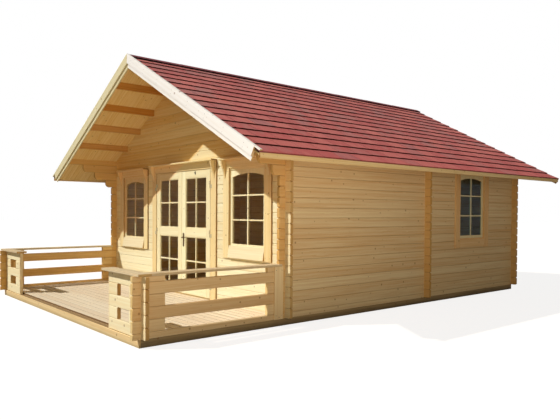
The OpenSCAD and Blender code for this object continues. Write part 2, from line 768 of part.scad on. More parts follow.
module door_leaf_right() color("#f3e3b5") placed() leaf();
module door_leaf_left() color("#f3e3b5") placed() mirror([1, 0, 0]) leaf();
module door_glass_right() color("#4a3a2c") placed() leaf_glass();
module door_glass_left() color("#4a3a2c") placed() mirror([1, 0, 0]) leaf_glass();
module leaf_hinges_right() color("#4b4740") placed() leaf_hinges();
module leaf_hinges_left() color("#4b4740") placed() mirror([1, 0, 0]) leaf_hinges();

// Lever handles on plates, one on each face of the right leaf's meeting stile
module door_handle() color("#4a4034") placed()
  translate([meet_gap / 2 + door_stile / 2, leaf_t / 2 - leaf_out, leaf_z + handle_z])
    for (turn = [0, 1]) mirror([0, turn, 0]) {
      face = -leaf_t / 2 - fit;
      block([-plate_w / 2, face - plate_t, -plate_h / 2], [plate_w / 2, face, plate_h / 2]);
      translate([0, face - plate_t / 2, plate_h / 6]) rotate([90, 0, 0])
        cylinder(h = lever_out + plate_t, r = lever_r);
      translate([0, face - lever_out, plate_h / 6]) rotate([0, 90, 0]) cylinder(h = lever_l, r = lever_r);
    }

base_beams();
terrace_edge_board();
terrace_deck();
floor();
left_wall();
right_wall();
rear_wall();
rear_gable();
front_wall_left();
front_wall_right();
wall_over_door();
front_gable();
cross_wall();
purlins();
roof_boards();
shingles();
ridge_cap();
eave_boards();
barge_boards();
barge_strips();
barge_caps();
left_rail();
right_rail();
front_rail_left();
front_rail_right();
rail_caps();
rail_posts();
window_frames();
window_sashes();
window_glass();
window_casings();
head_boards();
window_sills();
hood_boards();
hood_brackets();
door_frame();
door_casings();
frame_hinges();
door_leaf_left();
door_glass_left();
leaf_hinges_left();
door_leaf_right();
door_glass_right();
leaf_hinges_right();
door_handle();
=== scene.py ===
# %% [markdown]
# # Dressing a log cabin
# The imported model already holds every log, beam and board at its true size.
# This lesson gives it a surface: grain, knots, lapped shingles, deck boards,
# glazing bars and fittings. Each step says what the real piece is, how it
# could be made, and why it is made this way here.

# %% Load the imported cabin
import math
import random
from functools import partial
import bmesh
import bpy
from mathutils import Matrix, Vector


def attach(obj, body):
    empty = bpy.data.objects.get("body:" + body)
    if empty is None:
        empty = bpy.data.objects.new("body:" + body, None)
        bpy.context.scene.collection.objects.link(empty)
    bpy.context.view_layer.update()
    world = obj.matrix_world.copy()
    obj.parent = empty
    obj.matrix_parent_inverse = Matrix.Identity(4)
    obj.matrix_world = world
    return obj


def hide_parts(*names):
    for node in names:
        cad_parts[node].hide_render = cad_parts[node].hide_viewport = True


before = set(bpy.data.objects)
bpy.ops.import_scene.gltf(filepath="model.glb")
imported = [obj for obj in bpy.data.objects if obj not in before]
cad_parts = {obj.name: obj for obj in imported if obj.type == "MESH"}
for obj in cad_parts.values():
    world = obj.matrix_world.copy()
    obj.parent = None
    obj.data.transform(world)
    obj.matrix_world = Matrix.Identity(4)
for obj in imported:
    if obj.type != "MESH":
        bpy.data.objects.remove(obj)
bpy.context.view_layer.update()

# %% [markdown]
# ## One way to speak about places
# A carpenter measures this house from its front wall and from the top of the
# base beams, in millimetres. The model's own origin is the middle of its
# footprint on the ground, in metres. A single helper turns one into the
# other, so every later number can be read on the drawing.

# %% House measures to model places
base_height = 90
footprint_middle = 2075
X, Y, Z = AXES = Vector((1, 0, 0)), Vector((0, 1, 0)), Vector((0, 0, 1))


def house(x, y, z):
    return Vector((x, y - footprint_middle, z + base_height)) / 1000


print("front door sill stands at", house(0, 0, 45))

# %% [markdown]
# ## The camera
# The picture was taken from the front right, about as high as a person's
# chest. The lens and place below come from fitting log courses and corners,
# so the courses run to the same vanishing points as in the picture. The frame
# is 560 by 420, and a small lens shift keeps the uprights where they are.

# %% Set up the camera
scene = bpy.context.scene
turn, tip, lean = (math.radians(a) for a in (51.608, -0.998, 0.3))
flat = math.cos(tip)
ahead = Vector((-math.sin(turn) * flat, math.cos(turn) * flat, math.sin(tip)))
level = Vector((math.cos(turn), math.sin(turn), 0))
upward = level.cross(ahead)
sideways = level * math.cos(lean) + upward * math.sin(lean)
upward = upward * math.cos(lean) - level * math.sin(lean)
lens = bpy.data.cameras.new("camera")
lens.sensor_width, lens.lens = 36, 36.55
lens.shift_x, lens.shift_y = 0.0616, 0.0218
lens.clip_end = 200
camera = bpy.data.objects.new("camera", lens)
scene.collection.objects.link(camera)
camera.matrix_world = Matrix((sideways, upward, -ahead)).transposed().to_4x4()
camera.location = (7.826, -6.981, 1.4452)
scene.camera = camera
print("camera looks along", [round(a, 3) for a in ahead])

# %% [markdown]
# ## A small drawing board for shader nodes
# Shader trees grow long when every node takes four lines. One tree at a time
# lies on the board as its sheet. The helpers add a node to that sheet, feed its
# sockets with numbers or links, and hand back what comes out, so a finish reads
# like a recipe. Colours are written as they look on a screen and turned into
# the linear values that the renderer works with.

# %% Helpers for shader trees
scene.view_settings.view_transform = "Standard"


def tint(code):
    parts = [int(code[i:i + 2], 16) / 255 for i in (1, 3, 5)]
    return tuple(c / 12.92 if c < 0.04045 else ((c + 0.055) / 1.055) ** 2.4 for c in parts) + (1,)


def open_sheet(tree):
    global sheet
    sheet = tree


def feed(socket, value):
    if isinstance(value, bpy.types.NodeSocket):
        sheet.links.new(value, socket)
    else:
        socket.default_value = value


def add(kind, sockets, **settings):
    made = sheet.nodes.new("ShaderNode" + kind)
    for key, value in settings.items():
        setattr(made, key, value)
    for key, value in sockets.items():
        feed(made.inputs[key], value)
    return made.outputs


def calc(operation, *values):
    return add("Math", dict(enumerate(values)), operation=operation)[0]


times, plus, minus, scaled = (partial(calc, name) for name in ("MULTIPLY", "ADD", "SUBTRACT", "MULTIPLY_ADD"))
print("a mid wood tone in linear light:", [round(c, 3) for c in tint("#d9b47a")])

# %% [markdown]
# ## Nodes by name
# Each helper here stands for a kind of node that the finishes use often.

# %% Helpers named after nodes
def split(vector):
    return add("SeparateXYZ", {0: vector})


def join(*lengths):
    return add("CombineXYZ", dict(enumerate(lengths)))[0]


def stretched(place, factors):
    return add("VectorMath", {0: place, 1: factors}, operation="MULTIPLY")[0]


def mix(amount, first, second):
    return add("Mix", {0: amount, 6: first, 7: second}, data_type="RGBA")[2]


def ramp(value, low, high, start=0.0, end=1.0, kind="SMOOTHSTEP"):
    sockets = {"Value": value, "From Min": low, "From Max": high, "To Min": start, "To Max": end}
    return add("MapRange", sockets, interpolation_type=kind)[0]


def noise(place, scale, detail):
    return add("TexNoise", {"Vector": place, "Scale": scale, "Detail": detail, "Roughness": 0.55})[0]


def here():
    return add("TexCoord", {})["Object"]


def mark(name, output="Fac"):
    return add("Attribute", {}, attribute_name=name)[output]


def use(name, **sockets):
    return add("Group", sockets, node_tree=bpy.data.node_groups[name])


print("view transform:", scene.view_settings.view_transform)

# %% [markdown]
# ## Groups, materials and one way to end them
# A node group is a shader recipe with a name. It's made once, and every
# material that needs it places it like a single node. Most finishes end the
# same way: a colour, a roughness, a bump and a fixed gloss go into the shader,
# so one helper does that too.

# %% Helpers for groups and materials
def new_group(name, inputs, outputs):
    tree = bpy.data.node_groups.new(name, "ShaderNodeTree")
    for in_out, kinds in (("INPUT", inputs), ("OUTPUT", outputs)):
        for kind, labels in kinds.items():
            for label in labels.split():
                tree.interface.new_socket(label, in_out=in_out, socket_type="NodeSocket" + kind)
    open_sheet(tree)
    return tree.nodes.new("NodeGroupInput").outputs, tree.nodes.new("NodeGroupOutput").inputs


def material(name):
    made = bpy.data.materials.new(name)
    made.use_nodes = True
    open_sheet(made.node_tree)
    return made, sheet.nodes["Principled BSDF"].inputs


def surface(shader, colour, rough, height, strength, distance, gloss):
    feed(shader["Base Color"], colour)
    feed(shader["Roughness"], rough)
    bump = add("Bump", {"Height": height, "Strength": strength, "Distance": distance})
    feed(shader["Normal"], bump[0])
    shader["Specular IOR Level"].default_value = gloss


print("materials before any finish:", len(bpy.data.materials))

# %% [markdown]
# ## Spruce, once for the whole house
# Planed spruce is pale with long darker streaks of late wood, a few knots, and
# rings where a board is cut across. An image would repeat on sixty logs, so
# the grain is worked out from three lengths instead: along the log, across
# its face and through it. Every timber of the house uses this one group with
# its own colours. Knots come first. They are scattered by a cell pattern, one
# to a cell at most, and they push the streaks aside.

# %% Shader group: spruce, the knots
given, put = new_group("spruce", {"Vector": "Grain", "Float": "Tone End Knots", "Color": "Pale Deep Cut"},
                       {"Color": "Color", "Float": "Roughness Height"})
cell_along, cell_across = 3.6, 7.6
least_knot, knot_range, knot_rim = 0.004, 0.012, 0.0005
lengths = split(given["Grain"])
cells = join(times(lengths[0], cell_along), times(lengths[1], cell_across))
scatter = add("TexVoronoi", {"Vector": cells, "Scale": 1.0}, voronoi_dimensions="2D")
chance = add("SeparateColor", {0: scatter["Color"]})
middle = split(scatter["Position"])
off_along = minus(lengths[0], calc("DIVIDE", middle[0], cell_along))
off_across = minus(lengths[1], calc("DIVIDE", middle[1], cell_across))
away = calc("SQRT", plus(times(off_along, off_along), times(off_across, off_across)))
wanted = calc("LESS_THAN", chance[1], given["Knots"])
drawn = scaled(calc("POWER", chance[0], 2.0), knot_range, least_knot)
knot_size = times(wanted, drawn)
knot_edge = plus(knot_size, knot_rim)
knot = times(wanted, ramp(away, times(knot_edge, 0.7), times(knot_edge, 1.15), 1.0, 0.0))
bend = calc("DIVIDE", times(off_across, knot_size), plus(away, knot_edge))
bent = plus(lengths[1], bend)
print("knots take", len(sheet.nodes), "nodes")

# %% [markdown]
# ## Streaks and rings
# Streaks are noise stretched along the log, fine and broad ones together. On
# a sawn end the same tree shows rings about its heart. Both shape roughness
# and height as well as colour, so they catch the light.

# %% Shader group: spruce, streaks and rings
fine_pitch, broad_pitch, ring_pitch, knot_brown = 150.0, 34.0, 1500.0, tint("#8a5a30")
drift = times(given["Tone"], 31.7)


def streak(stretch, pitch, detail):
    along = scaled(lengths[0], stretch, drift)
    place = join(along, times(bent, pitch), times(lengths[2], pitch))
    return times(noise(place, 1.0, detail), 0.5)


streaks = ramp(plus(streak(1.6, fine_pitch, 4.0), streak(0.55, broad_pitch, 3.0)), 0.34, 0.7)
heart = join(plus(lengths[1], 0.012), minus(lengths[2], 0.03))
radius = add("VectorMath", {0: heart}, operation="LENGTH")["Value"]
rings = scaled(calc("SINE", times(radius, ring_pitch)), 0.3, 0.5)
on_face = minus(1.0, given["End"])
shade = plus(times(on_face, streaks), times(given["End"], rings))
face = mix(times(streaks, 0.7), given["Pale"], given["Deep"])
sawn = mix(times(rings, 0.5), given["Cut"], knot_brown)
wood = mix(given["End"], face, sawn)
flat_knot = times(knot, on_face)
wood = mix(times(flat_knot, 0.55), wood, knot_brown)
tone = given["Tone"]
toned = add("HueSaturation", {"Hue": scaled(tone, -0.012, 0.506), "Saturation": scaled(tone, 0.16, 0.94),
                              "Value": scaled(tone, -0.1, 1.05), "Color": wood})
feed(put["Color"], toned[0])
feed(put["Roughness"], scaled(shade, 0.16, 0.5))
feed(put["Height"], minus(times(shade, 0.6), times(flat_knot, 0.5)))
print("spruce group:", len(sheet.nodes), "nodes")

# %% [markdown]
# ## Which log am I on?
# The wall nodes hold many logs in one mesh, and no two real logs share their
# tone. A second group finds the course from the height alone, gives the grain
# lengths within that log, a tone that is new for each course, a mask for the
# joint between two courses, darkened for dust and as painted shade, and one
# for the log's tips beyond the corner, which are browned as painted shade and
# warm bounce light.

# %% Shader group: log courses
log_h = 0.135
given, put = new_group("log_courses", {"Float": "Along Height Through First Course Seed Middle Reach"},
                       {"Vector": "Grain", "Float": "Tone Seam Tip"})
count = calc("DIVIDE", minus(given["Height"], given["First"]), given["Course"])
whole = calc("FLOOR", count)
within = times(minus(minus(count, whole), 0.5), given["Course"])
number = scaled(given["Seed"], 17.31, whole)
luck = add("TexWhiteNoise", {"W": number}, noise_dimensions="1D")["Value"]
shifted = scaled(luck, 83.0, given["Along"])
depth = scaled(luck, 9.0, given["Through"])
feed(put["Grain"], join(shifted, within, depth))
feed(put["Tone"], luck)
from_joint = minus(times(given["Course"], 0.5), calc("ABSOLUTE", within))
feed(put["Seam"], ramp(from_joint, 0.001, 0.005, 1.0, 0.0))
off_middle = calc("ABSOLUTE", minus(given["Along"], given["Middle"]))
feed(put["Tip"], ramp(minus(off_middle, given["Reach"]), -0.012, 0.012))
print("log courses group:", len(sheet.nodes), "nodes")

# %% [markdown]
# ## Damp from below, shade from above
# Where a beam stands low, a third group lets ground damp darken it, with a
# wandering upper edge. A fourth finds the part of the front that the roof
# keeps in the shade, by following the sun back from the wall to the gable's
# edge.

# %% Shader groups: ground damp and roof shade
given, put = new_group("ground_damp", {"Vector": "Place", "Float": "Reach Amount", "Color": "Color Stain"},
                       {"Color": "Color"})
blot = noise(stretched(given["Place"], (2.2, 2.2, 7.0)), 1.0, 4.0)
edge = scaled(blot, given["Reach"], times(given["Reach"], 0.45))
wet = ramp(split(given["Place"])[2], 0.0, edge, 1.0, 0.0)
feed(put["Color"], mix(times(wet, given["Amount"]), given["Color"], given["Stain"]))

sun_way = Vector((0.59, 1.0, -1.153))
shade_peak, shade_fall = Vector((0.602, -2.075, 2.472)), 0.537
front_depth, soft_edge = 0.3, 0.03
given, put = new_group("roof_shade", {"Vector": "Place"}, {"Float": "Shade"})
spot = split(given["Place"])
behind = minus(spot[1], shade_peak.y)
aside = minus(minus(spot[0], shade_peak.x), times(behind, sun_way.x))
line = scaled(calc("ABSOLUTE", aside), -shade_fall, shade_peak.z)
above = minus(scaled(behind, -sun_way.z, spot[2]), line)
on_front = calc("LESS_THAN", behind, front_depth)
feed(put["Shade"], times(ramp(above, -soft_edge, soft_edge), on_front))
print("groups:", [g.name for g in bpy.data.node_groups])

# %% [markdown]
# ## Log finishes
# The logs keep their CAD meshes, because tongue, chamfer and lap are all cut
# there. The grain runs across the house on the front, rear and cross walls,
# and along it on the side walls. Faces that look along the log are sawn ends
# and show rings. Where the roof's shadow falls on the front wall, the logs get
# darker, oranger colours as painted shade; the sunlit lower part keeps the
# paler ones.

# %% Log materials
def wood_colours(where, pale, deep, shaded):
    pale, deep = tint(pale), tint(deep)
    # Inside the roof's shadow on the front, the shaded pair replaces the plain pair: painted shade.
    if shaded:
        under_roof = use("roof_shade", Place=where)["Shade"]
        pale, deep = (mix(under_roof, lit_tone, tint(shade_tone)) for lit_tone, shade_tone in zip((pale, deep), shaded))
    return {"Pale": pale, "Deep": deep}


def log_finish(name, axis, first, seed, pale, deep, middle=0.0, reach=2.45, tip_shade=0.6, seam=0.3,
               shaded=None, cut="#dcb87c"):
    made, shader = material(name)
    where = add("TexCoord", {})
    xyz = split(where["Object"])
    facing = split(where["Normal"])
    found = use("log_courses", Along=xyz[axis], Height=xyz[2], Through=xyz[1 - axis],
                First=first, Course=log_h, Seed=seed, Middle=middle, Reach=reach)
    end = calc("GREATER_THAN", calc("ABSOLUTE", facing[axis]), 0.4)
    grain = use("spruce", Grain=found["Grain"], Tone=found["Tone"], End=end, Cut=tint(cut), Knots=0.5,
                **wood_colours(where["Object"], pale, deep, shaded))
    worn = use("ground_damp", Color=grain["Color"], Place=where["Object"],
               Stain=tint("#8a6a3f"), Reach=0.3, Amount=0.12)
    # Tips are browned with this orange as painted shade and warm bounce light; sunlit tips take little of it.
    tip_shaded = mix(times(found["Tip"], tip_shade), worn["Color"], tint("#d9a656"))
    # Joints are darkened as dust and as painted shade.
    colour = mix(times(found["Seam"], seam), tip_shaded, tint("#5e3c1a"))
    surface(shader, colour, grain["Roughness"], grain["Height"], 0.35, 0.0015, 0.3)
    return made


def dress(finish, *nodes):
    for node in nodes:
        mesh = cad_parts[node].data
        mesh.materials.clear()
        mesh.materials.append(finish)


print("log courses are", log_h, "m high")

# %% [markdown]
# ## Dressing the walls
# Side courses start half a course lower than front courses. Middle and reach
# say where tips begin: at the house's corners or at the ends of the rails.

# %% Dress the logs
front_first = base_height / 1000
side_first = front_first - log_h / 2
along_house = {"middle": 0.875, "reach": 2.95}
along_terrace = {"middle": -3.1, "reach": 1.025}
dress(log_finish("front_logs", 0, front_first, 1.0, "#f4ebc6", "#e6d098",
                 tip_shade=0.15, shaded=("#fde4b0", "#f2ca8a")), "front_wall_left", "front_wall_right")
dress(log_finish("front_rail_logs", 0, front_first, 8.0, "#fff4cc", "#f8e0a8",
                 tip_shade=0.15), "front_rail_left", "front_rail_right")
dress(log_finish("gable_logs", 0, front_first, 2.0, "#f4e8bc", "#e6cc92",
                 seam=0.12, shaded=("#f8d898", "#e6b462")), "wall_over_door", "front_gable")
dress(log_finish("rear_logs", 0, front_first, 3.0, "#f3dcab", "#e2bb7c"),
      "rear_wall", "rear_gable", "cross_wall")
dress(log_finish("right_side_logs", 1, side_first, 4.0, "#f0daae", "#d8ab70", **along_house), "right_wall")
dress(log_finish("left_side_logs", 1, side_first, 5.0, "#f0d49c", "#dcae68", **along_house), "left_wall")
dress(log_finish("rail_logs", 1, side_first, 6.0, "#f4d8a8", "#deb278",
                 tip_shade=0.15, cut="#fbe09e", **along_terrace), "right_rail")
# The left rail is a darker, oranger copy of the rail colours: painted shade on its shaded inner faces.
dress(log_finish("left_rail_logs", 1, side_first, 7.0, "#eccb8e", "#cf9a52", **along_terrace), "left_rail")
print("log finishes:", [m.name for m in bpy.data.materials if m.name.endswith("logs")])

# %% [markdown]
# ## Board finishes
# Boards, trims and joinery run in every direction, so their grain can't come
# from one axis of the house. Each board mesh carries its own lengths in an
# attribute called grain, a tone, and a mark on its sawn ends. One finish
# then fits a post, a sloping barge board and a deck board alike.

# %% Board materials
def board_finish(name, pale, deep, knots, cut="#dcb87c", gloss=0.3, shaded=None, damp=None):
    made, shader = material(name)
    where = here()
    grain = use("spruce", Grain=mark("grain", "Vector"), Tone=mark("tone"), End=mark("end"),
                Cut=tint(cut), Knots=knots, **wood_colours(where, pale, deep, shaded))
    colour = grain["Color"]
    if damp:
        stain, reach, amount = damp
        colour = use("ground_damp", Color=colour, Place=where, Stain=tint(stain),
                     Reach=reach, Amount=amount)["Color"]
    surface(shader, colour, grain["Roughness"], grain["Height"], 0.35, 0.0012, gloss)
    return made


# Trims and joinery take their shaded pair of colours inside the roof's shadow on the front: painted shade.
trim_wood = board_finish("trim_boards", "#f4e1ae", "#e3c480", 0.25, "#a07a46", shaded=("#fadba6", "#ecc084"))
sill_wood = board_finish("sill_boards", "#eee1bc", "#e0cb99", 0.25)
post_wood = board_finish("post_boards", "#fae6bc", "#e8c890", 0.3)
# Side window trims are a darker, oranger copy of the trim colours: painted shade.
shade_side_trim_wood = board_finish("shade_side_trim_boards", "#f4d09a", "#dca866", 0.3)
# The eave boards' dark cut colour paints the barge's shadow onto their front ends.
eave_wood = board_finish("eave_boards", "#f4dcaa", "#e2be80", 0.25, "#8a6236")
cap_wood = board_finish("cap_boards", "#e2d0ac", "#ccb082", 0.35)
joinery_wood = board_finish("joinery", "#f6eec6", "#ecd9a0", 0.06, gloss=0.4, shaded=("#f6d8a6", "#ecc688"))
barge_wood = board_finish("barge_boards", "#fbf8f4", "#f2ebdf", 0.2)
left_barge_wood = board_finish("left_barge_boards", "#ede6c1", "#dfce9c", 0.2)
# The rear barges' darker tone is partly natural wood and partly painted shade.
rear_barge_wood = board_finish("rear_barge_boards", "#d9b078", "#b98548", 0.3)
# Roof timbers and lining are deeper and oranger, partly as painted shade and warm bounce under the roof; the
# purlins' dark cut colour paints shade onto their ends.
roof_wood = board_finish("roof_timber", "#d8a562", "#b4783a", 0.35, "#b07c40")
lining_wood = board_finish("lining_boards", "#f4d698", "#d8aa5e", 0.35)
# The deck's dark cut colour paints shade into the joints between boards.
deck_wood = board_finish("deck_boards", "#ecdec4", "#d2ba95", 0.25, "#7a6240")
base_wood = board_finish("base_timber", "#b0956a", "#755f43", 0.3, damp=("#483e2c", 0.09, 0.6))
edge_wood = board_finish("edge_board", "#f1d49f", "#d6aa6a", 0.3, damp=("#8d774e", 0.06, 0.5))
print("finishes so far:", len(bpy.data.materials))

# %% [markdown]
# ## Reading a board
# A trim node holds many boards in one mesh, so the mesh is walked from corner
# to corner until each board is collected. Its grain runs along its longest
# way, or down the roof.

# %% Helpers: pieces, grain and single boards
slope = math.radians(28.4)
random.seed(1907)


def finish_piece(name, mesh, finish, body, slot, *replaced):
    piece = bpy.data.objects.new(name, mesh)
    scene.collection.objects.link(piece)
    mesh.materials.append(finish)
    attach(piece, body)
    if replaced:
        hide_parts(*replaced)


def write_grain(mesh, grain, tone, end):
    made = mesh.attributes.new("grain", "FLOAT_VECTOR", "POINT")
    made.data.foreach_set("vector", [c for g in grain for c in g])
    for name, domain, values in (("tone", "POINT", tone), ("end", "FACE", end)):
        made = mesh.attributes.new(name, "FLOAT", domain)
        made.data.foreach_set("value", values)


def node_copy(node):
    work = bmesh.new()
    work.from_mesh(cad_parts[node].data)
    bmesh.ops.remove_doubles(work, verts=work.verts, dist=1e-5)
    return work


def islands(work):
    work.verts.ensure_lookup_table()
    seen = set()
    for start in work.verts:
        if start.index in seen:
            continue
        seen.add(start.index)
        found, queue = [], [start]
        while queue:
            vert = queue.pop()
            found.append(vert)
            for edge in vert.link_edges:
                other = edge.other_vert(vert)
                if other.index not in seen:
                    seen.add(other.index)
                    queue.append(other)
        yield found


def middle_of(found):
    return sum((v.co for v in found), Vector()) / len(found)


def longest_way(points):
    spans = [max(p[i] for p in points) - min(p[i] for p in points) for i in range(3)]
    first = spans.index(max(spans))
    last = spans.index(min(spans))
    return [AXES[k] for k in (first, 3 - first - last, last)]


def rake_way(points):
    side = 1 if sum(p.x for p in points) > 0 else -1
    along = Vector((side * math.cos(slope), 0, -math.sin(slope)))
    across = Vector((side * math.sin(slope), 0, math.cos(slope)))
    return [along, across, Y]


print("roof pitch", round(math.degrees(slope), 1))

# %% [markdown]
# ## Easing the edges of carried timbers
# Real boards leave the planer with softened edges that catch the light. The
# CAD boards are sharp, which is right for a drawing but looks like paper. Each
# trim node is copied, its flat faces are joined, and a small round is run along
# every sharp edge. The copy then stands for the node. The flanks of casings
# can take the sawn-end colour as a painted shadow line where they meet the logs.

# %% Helper: ease a node
flat_angle, sharp_angle, facing_limit, grain_spread = math.radians(0.5), math.radians(30), 0.8, 40


def eased(node, finish, slot="trim_wood", ease=0.003, way=longest_way, keep=None, name=None, flank_shade=0.0):
    work = node_copy(node)
    if keep:
        dropped = [v for found in list(islands(work)) if not keep(middle_of(found)) for v in found]
        bmesh.ops.delete(work, geom=dropped, context="VERTS")
        work.verts.index_update()
    bmesh.ops.dissolve_limit(work, angle_limit=flat_angle, verts=work.verts, edges=work.edges)
    sharp = [e for e in work.edges if len(e.link_faces) == 2 and e.calc_face_angle(0) > sharp_angle]
    bmesh.ops.bevel(work, geom=sharp, offset=ease, offset_type="OFFSET", segments=2,
                    profile=0.5, affect="EDGES", clamp_overlap=True)
    work.verts.index_update()
    grain, tone, ways = ([None] * len(work.verts) for _ in range(3))
    for found in islands(work):
        axes = way([v.co for v in found])
        centre = middle_of(found)
        luck, start = random.random(), random.uniform(0, grain_spread)
        for vert in found:
            u, v, w = ((vert.co - centre).dot(axis) for axis in axes)
            grain[vert.index] = (u + start, v, w + start)
            tone[vert.index], ways[vert.index] = luck, axes
    end = []
    for face in work.faces:
        axes = ways[face.verts[0].index]
        on_end, on_flank = (abs(face.normal.dot(axis)) > facing_limit for axis in axes[:2])
        end.append(1.0 if on_end else flank_shade * on_flank)
    name = name or node + "_eased"
    mesh = bpy.data.meshes.new(name)
    work.to_mesh(mesh)
    work.free()
    write_grain(mesh, grain, tone, end)
    finish_piece(name, mesh, finish, "cabin", slot, node)


print("easing helper ready")

# %% [markdown]
# ## Trims, beams and barges
# The left barge was cut from a yellower plank than the right one, and the rear
# pair is plain, in a darker tone that is partly painted shade, so a test of
# each board's middle picks boards out. The same test parts the trims of the
# front windows from those of the side windows, which get darker, oranger
# colours as painted shade.

# %% Ease the trims, beams and barges
trim_split, ridge_zone = 2.35, 0.1
for node in ("hood_boards", "hood_brackets", "door_frame"):
    eased(node, trim_wood)
# Casing flanks take the trims' dark cut colour as a painted shadow line.
eased("door_casings", trim_wood, flank_shade=0.8)
eased("rail_posts", post_wood)
for node, finish, flank_shade in (("window_frames", trim_wood, 0.0), ("window_casings", trim_wood, 0.8),
                            ("head_boards", trim_wood, 0.0), ("window_sills", sill_wood, 0.0)):
    eased(node, finish, keep=lambda c: abs(c.x) < trim_split, name=node + "_front", flank_shade=flank_shade)
    eased(node, shade_side_trim_wood, keep=lambda c: abs(c.x) > trim_split, name=node + "_side")
eased("eave_boards", eave_wood)
eased("rail_caps", cap_wood, ease=0.004)
eased("window_sashes", joinery_wood, "joinery_wood", 0.004, lambda points: [Z, X, Y])
for node in ("barge_boards", "barge_strips", "barge_caps"):
    for side, finish, ending in ((1, barge_wood, "_right"), (-1, left_barge_wood, "_left")):
        eased(node, finish, "barge_wood", way=rake_way, keep=lambda c: c.y < 0 < c.x * side, name=node + ending)
eased("barge_boards", rear_barge_wood, "barge_wood", way=rake_way,
      keep=lambda c: c.y > 0, name="barge_boards_rear")
eased("purlins", roof_wood, "roof_wood", 0.005, keep=lambda c: abs(c.x) > ridge_zone)
eased("base_beams", base_wood, "base_timber", 0.004)
eased("terrace_edge_board", edge_wood)

# %% [markdown]
# ## Laying boards
# Floors, the terrace and the roof lining are slabs in the CAD model. On the
# house they are boards with rounded or bevelled edges and open joints. A board
# is swept from a rounded section, drawn in a little at each end, with its grain
# lengths written as it is made. Many boards share one mesh, because they are
# one piece of work and move together. The flanks of deck boards can take the
# sawn-end colour as painted shade in the joints.

# %% A pile of boards
ring_size, flank_sides = 12, (5, 6, 10, 11)


class Pile:
    def __init__(self):
        self.points, self.faces, self.grain, self.tone, self.end = [], [], [], [], []

    def ring(self, v, w, inset, radius):
        ring, near = [], radius * 0.29
        for index, (i, j) in enumerate(((0, 0), (1, 0), (1, 1), (0, 1))):
            to_v, to_w = 1 - 2 * i, 1 - 2 * j
            v_at, w_at = v[i] + to_v * inset, w[j] + to_w * inset
            arc = [(v_at, w_at + to_w * radius), (v_at + to_v * near, w_at + to_w * near),
                   (v_at + to_v * radius, w_at)]
            ring += arc if index % 2 == 0 else arc[::-1]
        return ring

    def lay(self, origin, along, across, u, v, w, ease=0.003, tone=None, slant=0.0, flank_shade=0.0):
        through = along.cross(across)
        luck = random.random() if tone is None else tone
        start = random.uniform(0, grain_spread)
        middle = (v[0] + v[1]) / 2
        rings, grain = [], []
        for place, inset, radius in ((u[0], ease * 0.7, ease * 0.5), (u[0] + ease, 0, ease),
                                     (u[1] - ease, 0, ease), (u[1], ease * 0.7, ease * 0.5)):
            spots = [(place + slant * w_at, v_at, w_at) for v_at, w_at in self.ring(v, w, inset, radius)]
            rings.append([origin + along * a + across * b + through * c for a, b, c in spots])
            grain += [(a + start, b - middle, c + start) for a, b, c in spots]
        self.loft(rings, luck, (1.0, 1.0), [flank_shade * (i in flank_sides) for i in range(ring_size)], grain)

    def box(self, low, high, ease=0.003, tone=None, flank_shade=0.0):
        low, high = (house(*(pick(pair) for pair in zip(low, high))) for pick in (min, max))
        order = sorted(range(3), key=lambda i: low[i] - high[i])
        along, across = AXES[order[0]], AXES[order[1]]
        through = along.cross(across)
        u, v = ((low[i], high[i]) for i in order[:2])
        w = sorted((low.dot(through), high.dot(through)))
        self.lay(Vector(), along, across, u, v, w, ease, tone, flank_shade=flank_shade)

    def loft(self, rings, tone, caps=(0.0, 0.0), sides=None, grain=None):
        first, count = len(self.points), len(rings[0])
        for ring in rings:
            self.points += ring
            self.tone += [tone] * count
        self.grain += grain or [tuple(p) for ring in rings for p in ring]
        last = len(self.points) - count
        self.faces.append(tuple(first + i for i in range(count)))
        self.faces.append(tuple(last + i for i in reversed(range(count))))
        self.end += caps
        for start in range(first, last, count):
            for i in range(count):
                j = (i + 1) % count
                self.faces.append((start + i, start + count + i, start + count + j, start + j))
                self.end.append(sides[i] if sides else 0.0)

    def piece(self, name, finish, slot, *replaced, body="cabin"):
        mesh = bpy.data.meshes.new(name)
        mesh.from_pydata(self.points, [], self.faces)
        work = bmesh.new()
        work.from_mesh(mesh)
        bmesh.ops.recalc_face_normals(work, faces=work.faces)
        work.to_mesh(mesh)
        work.free()
        write_grain(mesh, self.grain, self.tone, self.end)
        print(name, "has", len(self.faces), "faces")
        finish_piece(name, mesh, finish, body, slot, *replaced)


print("a board's rounded section has", ring_size, "corners")

# %% [markdown]
# ## Terrace and floors
# Terrace boards run across the house with open joints, so rain falls through.
# Room floors are tight and run from front to rear.

# %% Terrace and room floors
half_width, board_foot, board_top = 2404.7, 0.3, 28
deck_front, deck_length, deck_count, deck_joint, deck_setback = -2004.7, 2004.4, 17, 3.5, 14
floor_count, floor_joint, rooms = 52, 0.3, ((45.3, 3029.7), (3075.3, 5854.7))
deck = Pile()
# The first board stands back from the edge, and its flank is fully darkened as a painted shadow line along the
# terrace edge.
deck_step = deck_length / deck_count
for i in range(deck_count):
    y = deck_front + i * deck_step
    deck.box((-half_width, y + (deck_joint if i else deck_setback), board_foot),
             (half_width, y + deck_step - deck_joint, board_top), 0.004, flank_shade=0.6 if i else 1.0)
deck.piece("terrace_boards", deck_wood, "deck_wood", "terrace_deck")
floor = Pile()
floor_step = 2 * half_width / floor_count
for y0, y1 in rooms:
    for i in range(floor_count):
        x = -half_width + i * floor_step
        floor.box((x + floor_joint, y0, board_foot), (x + floor_step - floor_joint, y1, board_top), 0.0015)
floor.piece("room_floor_boards", deck_wood, "deck_wood", "floor")

# %% [markdown]
# ## Roof lining
# The boards under the shingles show from below. They run down the pitch, and
# their ends are cut upright, so each end leans by the roof's slope.

